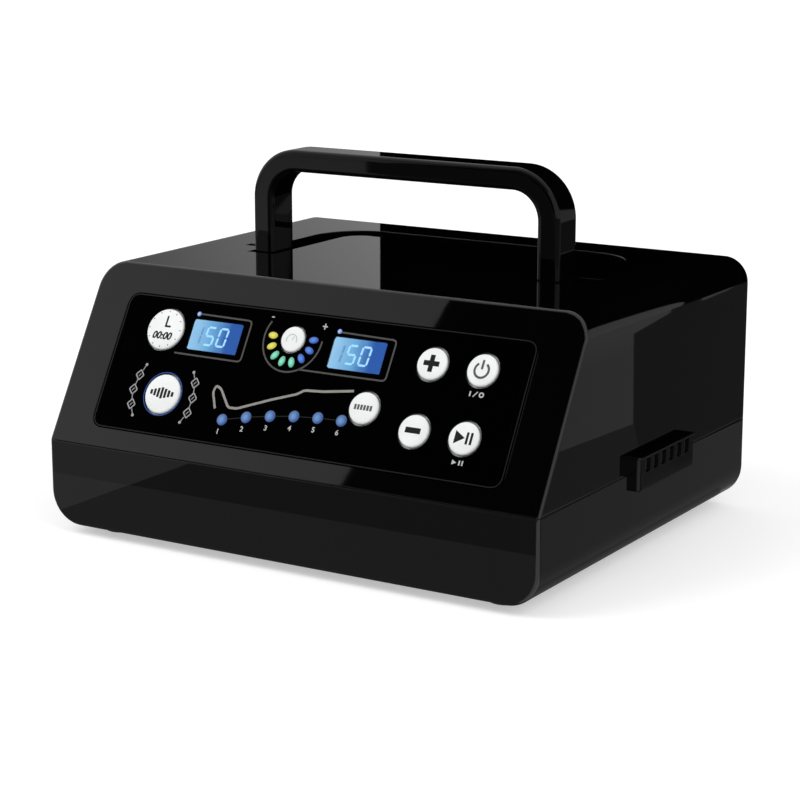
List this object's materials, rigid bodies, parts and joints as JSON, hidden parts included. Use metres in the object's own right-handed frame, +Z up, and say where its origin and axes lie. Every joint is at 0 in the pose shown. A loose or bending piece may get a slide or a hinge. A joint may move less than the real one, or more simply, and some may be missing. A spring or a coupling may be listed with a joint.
{
  "type": "compression therapy pump",
  "caption": "Tabletop air compression therapy pump with sloped key panel, folding bail handle, side hose outlet and rubber feet.",
  "frame": {"origin": "centre of the overall box in X and Y, on the surface the feet stand on", "axes": "+Z up, +X to the right where the hose outlet is, -Y towards the sloped control panel"},
  "size_m": [0.27, 0.2108, 0.174],
  "materials": {
    "casing_black": "high gloss",
    "handle_black": "high gloss",
    "overlay_black": "high gloss sheet",
    "key_white": "satin",
    "window_clear": "clear",
    "display_blue": "lit liquid crystal",
    "lamp_clear": "clear, lit",
    "circuit_board": "solder mask",
    "component_black": "moulded",
    "steel": "plated",
    "outlet_black": "satin",
    "rubber_black": "matte",
    "moulded_grey": "moulded",
    "cast_aluminium": "cast",
    "core_iron": "laminated",
    "winding_copper": "enamelled wire",
    "felt_grey": "felt",
    "brass": "plated"
  },
  "bodies": {
    "casing": {"base_tray": "casing_black", "bridge_hose": "rubber_black", "buzzer": "component_black", "case_screws": "steel", "compressor_base": "cast_aluminium", "compressor_coil": "winding_copper", "compressor_core": "core_iron", "compressor_head_left": "cast_aluminium", "compressor_head_right": "cast_aluminium", "compressor_mounts": "rubber_black", "control_board": "circuit_board", "control_board_screws": "steel", "control_chips": "component_black", "control_overlay": "overlay_black", "dial_light_pipes": "lamp_clear", "diaphragm_left": "rubber_black", "diaphragm_right": "rubber_black", "display_left": "display_blue", "display_right": "display_blue", "display_window_left": "window_clear", "display_window_right": "window_clear", "foot_front_left": "rubber_black", "foot_front_right": "rubber_black", "foot_rear_left": "rubber_black", "foot_rear_right": "rubber_black", "handle_pin_left": "steel", "handle_pin_right": "steel", "inlet_screws": "steel", "intake_filter": "felt_grey", "key_switches": "component_black", "mains_inlet": "outlet_black", "mains_pins": "brass", "outlet_hoses": "rubber_black", "outlet_socket": "outlet_black", "power_board": "circuit_board", "power_board_screws": "steel", "power_components": "component_black", "supply_hose": "rubber_black", "upper_cover": "casing_black", "valve_coils": "component_black", "valve_manifold": "moulded_grey", "zone_light_pipes": "lamp_clear"},
    "bail": {"handle": "handle_black"},
    "time_key_body": {"time_key": "key_white"},
    "mode_key_body": {"mode_key": "key_white"},
    "pressure_key_body": {"pressure_key": "key_white"},
    "zone_key_body": {"zone_key": "key_white"},
    "plus_key_body": {"plus_key": "key_white"},
    "minus_key_body": {"minus_key": "key_white"},
    "power_key_body": {"power_key": "key_white"},
    "start_key_body": {"start_key": "key_white"},
    "valve_plunger_1_body": {"valve_plunger_1": "steel"},
    "valve_plunger_2_body": {"valve_plunger_2": "steel"},
    "valve_plunger_3_body": {"valve_plunger_3": "steel"},
    "valve_plunger_4_body": {"valve_plunger_4": "steel"},
    "valve_plunger_5_body": {"valve_plunger_5": "steel"},
    "valve_plunger_6_body": {"valve_plunger_6": "steel"},
    "swing_arm_left_body": {"swing_arm_left": "steel"},
    "swing_arm_right_body": {"swing_arm_right": "steel"}
  },
  "joints": [
    {"name": "handle_fold", "type": "hinge", "parent": "casing", "child": "bail", "pos_m": [-0.005, 0.0117, 0.107], "axis": [-1, 0, 0], "range_deg": [0, 90]},
    {"name": "time_press", "type": "slide", "parent": "casing", "child": "time_key_body", "axis": [0, 0.8642, -0.5031], "range_m": [0, 0.0008], "stiffness_N_per_m": 400},
    {"name": "mode_press", "type": "slide", "parent": "casing", "child": "mode_key_body", "axis": [0, 0.8642, -0.5031], "range_m": [0, 0.0008], "stiffness_N_per_m": 400},
    {"name": "pressure_press", "type": "slide", "parent": "casing", "child": "pressure_key_body", "axis": [0, 0.8642, -0.5031], "range_m": [0, 0.0008], "stiffness_N_per_m": 400},
    {"name": "zone_press", "type": "slide", "parent": "casing", "child": "zone_key_body", "axis": [0, 0.8642, -0.5031], "range_m": [0, 0.0008], "stiffness_N_per_m": 400},
    {"name": "plus_press", "type": "slide", "parent": "casing", "child": "plus_key_body", "axis": [0, 0.8642, -0.5031], "range_m": [0, 0.0008], "stiffness_N_per_m": 400},
    {"name": "minus_press", "type": "slide", "parent": "casing", "child": "minus_key_body", "axis": [0, 0.8642, -0.5031], "range_m": [0, 0.0008], "stiffness_N_per_m": 400},
    {"name": "power_press", "type": "slide", "parent": "casing", "child": "power_key_body", "axis": [0, 0.8642, -0.5031], "range_m": [0, 0.0008], "stiffness_N_per_m": 400},
    {"name": "start_press", "type": "slide", "parent": "casing", "child": "start_key_body", "axis": [0, 0.8642, -0.5031], "range_m": [0, 0.0008], "stiffness_N_per_m": 400},
    {"name": "valve_plunger_1_lift", "type": "slide", "parent": "casing", "child": "valve_plunger_1_body", "axis": [0, 0, 1], "range_m": [0, 0.0012], "stiffness_N_per_m": 300},
    {"name": "valve_plunger_2_lift", "type": "slide", "parent": "casing", "child": "valve_plunger_2_body", "axis": [0, 0, 1], "range_m": [0, 0.0012], "stiffness_N_per_m": 300},
    {"name": "valve_plunger_3_lift", "type": "slide", "parent": "casing", "child": "valve_plunger_3_body", "axis": [0, 0, 1], "range_m": [0, 0.0012], "stiffness_N_per_m": 300},
    {"name": "valve_plunger_4_lift", "type": "slide", "parent": "casing", "child": "valve_plunger_4_body", "axis": [0, 0, 1], "range_m": [0, 0.0012], "stiffness_N_per_m": 300},
    {"name": "valve_plunger_5_lift", "type": "slide", "parent": "casing", "child": "valve_plunger_5_body", "axis": [0, 0, 1], "range_m": [0, 0.0012], "stiffness_N_per_m": 300},
    {"name": "valve_plunger_6_lift", "type": "slide", "parent": "casing", "child": "valve_plunger_6_body", "axis": [0, 0, 1], "range_m": [0, 0.0012], "stiffness_N_per_m": 300},
    {"name": "arm_left_swing", "type": "hinge", "parent": "casing", "child": "swing_arm_left_body", "pos_m": [-0.037, 0.063, 0.0381], "axis": [0, 0, 1], "range_deg": [-1.5, 1.5], "stiffness_Nm_per_rad": 1},
    {"name": "arm_right_swing", "type": "hinge", "parent": "casing", "child": "swing_arm_right_body", "pos_m": [0.007, 0.063, 0.0381], "axis": [0, 0, 1], "range_deg": [-1.5, 1.5], "stiffness_Nm_per_rad": 1}
  ],
  "couplings": [
    {"joint": "arm_right_swing", "follows": "arm_left_swing", "ratio": -1}
  ]
}
